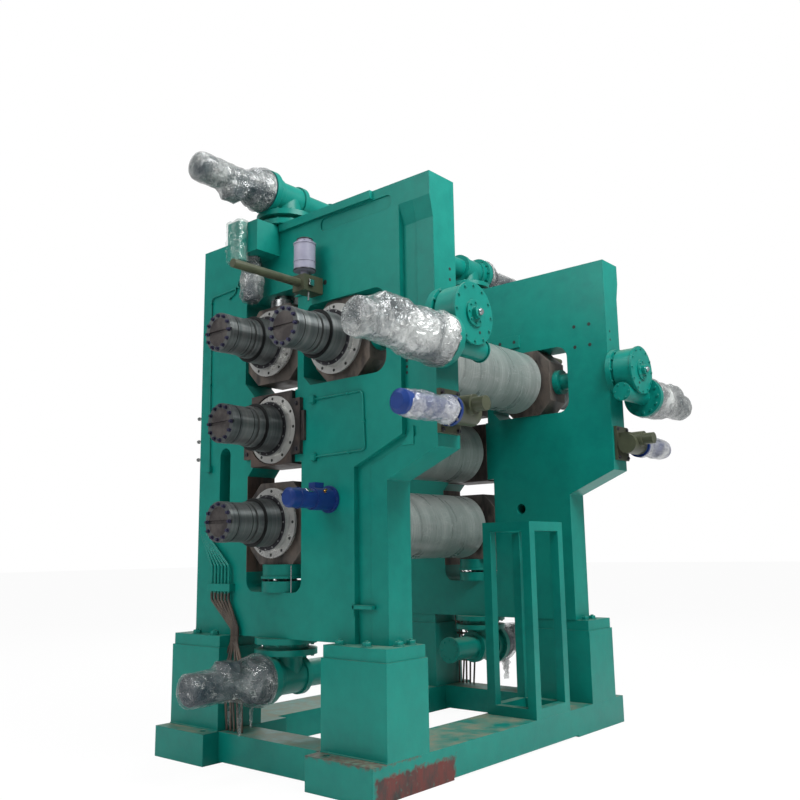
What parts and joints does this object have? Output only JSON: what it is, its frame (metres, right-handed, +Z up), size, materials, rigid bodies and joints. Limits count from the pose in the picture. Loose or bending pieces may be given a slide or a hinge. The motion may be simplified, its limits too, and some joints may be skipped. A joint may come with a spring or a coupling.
{
  "type": "four-roll calender",
  "caption": "Rubber calender with rolls in an inverted L between tall green side frames on pedestals, with geared screws on the movable housings.",
  "frame": {"origin": "floor level, centre of the four foundation bolts", "axes": "+X to the front, where the offset roll is; +Y along the rolls, away from the camera's side; +Z up"},
  "size_m": [3.0609, 4.77, 4.7859],
  "materials": {
    "green_enamel": "satin teal-green machine enamel",
    "roll_steel": "ground chilled iron, oiled, faces wrapped in clear film",
    "raw_casting": "machined and primed casting, brown-grey",
    "cover_steel": "bright turned steel",
    "screw_steel": "turned steel",
    "motor_enamel": "grey-blue enamel under clear film",
    "olive_enamel": "dark olive enamel",
    "blue_enamel": "gloss blue enamel",
    "grey_enamel": "silver-grey enamel"
  },
  "bodies": {
    "frame": {"base_far_beam": "green_enamel", "base_front_beam": "green_enamel", "base_near_beam": "green_enamel", "base_rear_beam": "green_enamel", "bearing_covers_middle": "cover_steel", "crossing_gearboxes": "olive_enamel", "crossing_motors": "blue_enamel", "face_gear_motors": "blue_enamel", "gearboxes_bottom": "green_enamel", "gearboxes_front": "green_enamel", "gearboxes_top": "green_enamel", "housing_middle_far": "raw_casting", "housing_middle_near": "raw_casting", "indicator_boxes": "green_enamel", "indicator_motors": "grey_enamel", "motors_bottom": "motor_enamel", "motors_front": "motor_enamel", "motors_top": "motor_enamel", "nut_flanges_bottom": "green_enamel", "oil_pipes": "green_enamel", "pedestal_front_far": "green_enamel", "pedestal_front_near": "green_enamel", "pedestal_rear_far": "green_enamel", "pedestal_rear_near": "green_enamel", "shaft_drive_motors": "grey_enamel", "shaft_drives": "olive_enamel", "side_frame_far": "green_enamel", "side_frame_near": "green_enamel", "stand_frame": "green_enamel"},
    "carriage_bottom": {"housing_bottom_near": "raw_casting", "housing_bottom_far": "raw_casting", "bearing_covers_bottom": "cover_steel", "screws_bottom": "screw_steel"},
    "carriage_top": {"housing_top_near": "raw_casting", "housing_top_far": "raw_casting", "bearing_covers_top": "cover_steel", "screws_top": "screw_steel"},
    "carriage_offset": {"housing_offset_near": "raw_casting", "housing_offset_far": "raw_casting", "bearing_covers_offset": "cover_steel", "screws_offset": "screw_steel"},
    "roll_bottom_turning": {"roll_bottom": "roll_steel"},
    "roll_top_turning": {"roll_top": "roll_steel"},
    "roll_offset_turning": {"roll_offset": "roll_steel"},
    "roll_middle_turning": {"roll_middle": "roll_steel"}
  },
  "joints": [
    {"name": "bottom_gap", "type": "slide", "parent": "frame", "child": "carriage_bottom", "axis": [0, 0, 1], "range_m": [0, 0.12]},
    {"name": "top_gap", "type": "slide", "parent": "frame", "child": "carriage_top", "axis": [0, 0, -1], "range_m": [0, 0.095]},
    {"name": "offset_gap", "type": "slide", "parent": "frame", "child": "carriage_offset", "axis": [-1, 0, 0], "range_m": [0, 0.098]},
    {"name": "bottom_roll_turn", "type": "hinge", "parent": "carriage_bottom", "child": "roll_bottom_turning", "pos_m": [-0.11, 0, 1.836], "axis": [0, 1, 0], "continuous": true},
    {"name": "middle_roll_turn", "type": "hinge", "parent": "frame", "child": "roll_middle_turning", "pos_m": [-0.11, 0, 2.58], "axis": [0, 1, 0], "continuous": true},
    {"name": "top_roll_turn", "type": "hinge", "parent": "carriage_top", "child": "roll_top_turning", "pos_m": [-0.16, 0, 3.3], "axis": [0, 1, 0], "continuous": true},
    {"name": "offset_roll_turn", "type": "hinge", "parent": "carriage_offset", "child": "roll_offset_turning", "pos_m": [0.59, 0, 3.213], "axis": [0, 1, 0], "continuous": true}
  ]
}
